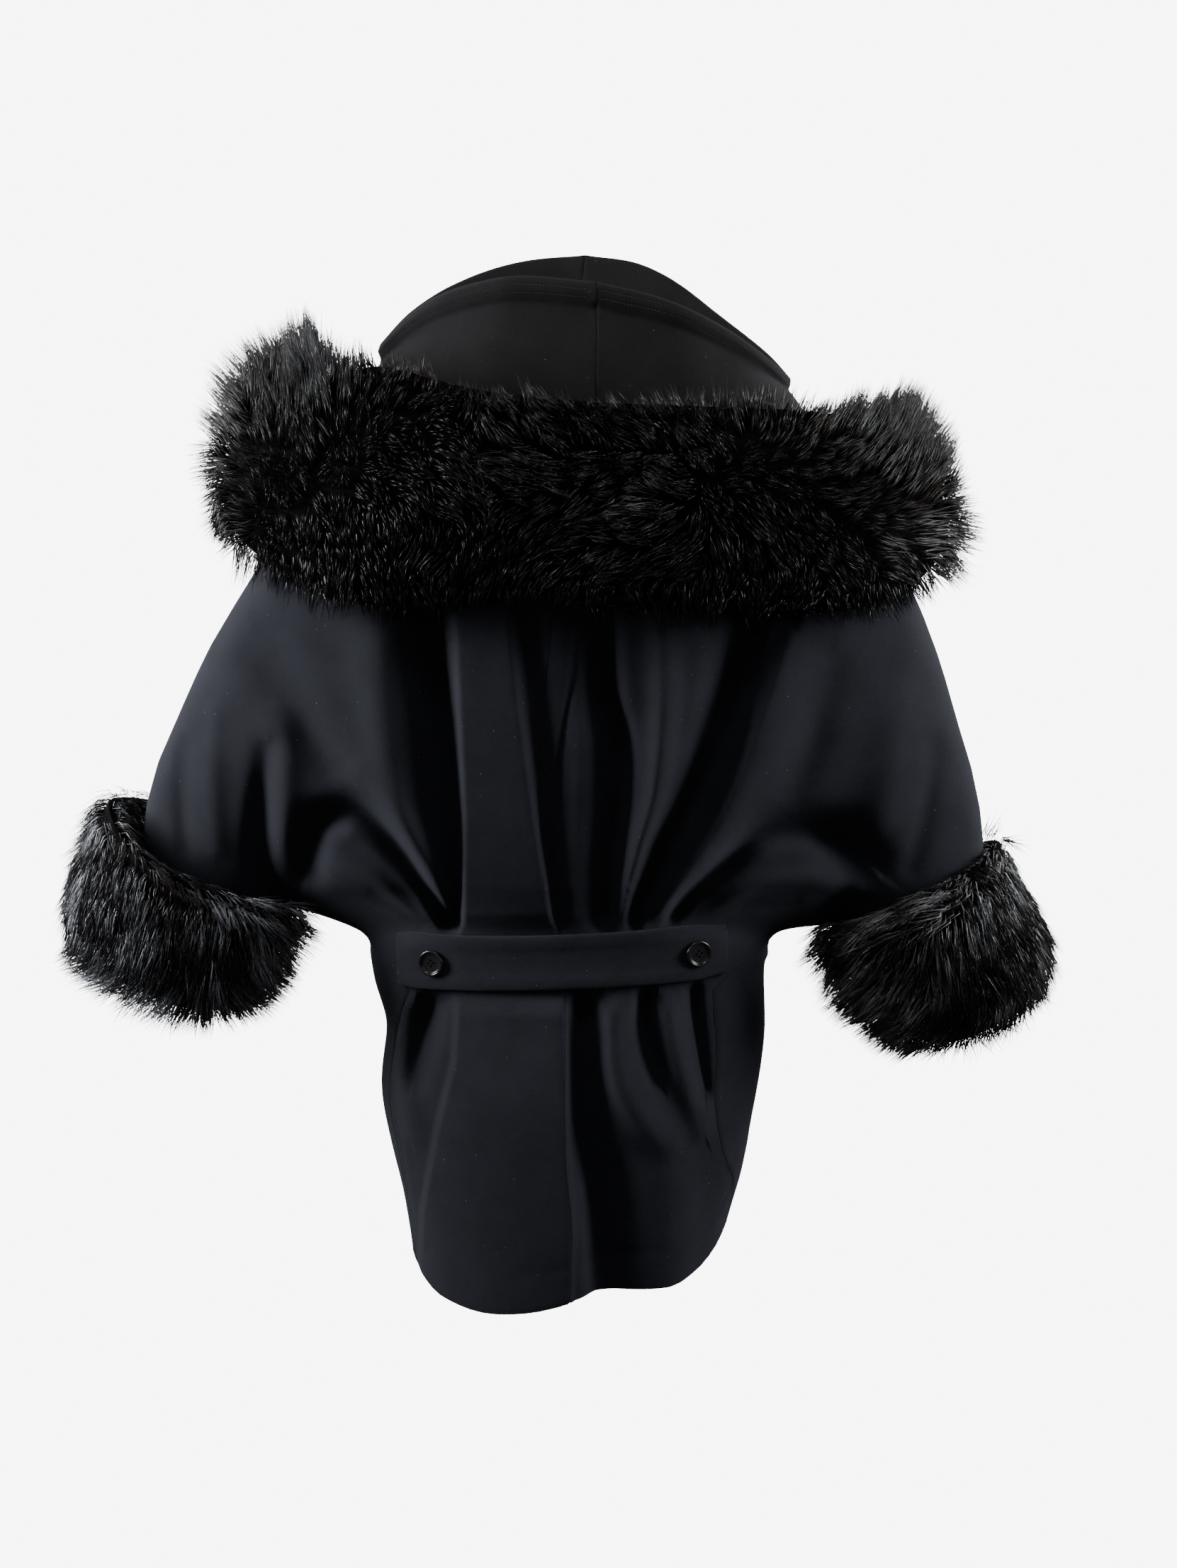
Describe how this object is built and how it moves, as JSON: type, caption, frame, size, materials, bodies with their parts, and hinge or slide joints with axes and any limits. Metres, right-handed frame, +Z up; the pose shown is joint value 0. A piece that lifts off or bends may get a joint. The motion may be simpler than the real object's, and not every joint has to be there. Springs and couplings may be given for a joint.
{
  "type": "wool coat with fur collar",
  "caption": "Dark wool coat standing hollow, with wide sleeves cut in one with the body, cowl neck, fur collar band, fur cuffs and a buttoned half belt at the back.",
  "frame": {"origin": "inside the neck, level with the shoulders, where a wearer's neck or a stand would hold the coat", "axes": "+Z up, +X to the wearer's right, +Y the way the wearer faces, so the back with the half belt faces -Y"},
  "size_m": [1.0529, 0.3775, 1.082],
  "materials": {
    "wool": "soft brushed wool",
    "fur": "long glossy fur",
    "button": "polished"
  },
  "bodies": {
    "root": {"back_left": "wool", "back_right": "wool", "front_left": "wool", "front_right": "wool", "cowl_left": "wool", "cowl_right": "wool", "fur_collar": "fur", "cuff_left": "fur", "cuff_right": "fur", "half_belt": "wool", "button_left": "button", "button_right": "button"}
  },
  "joints": []
}
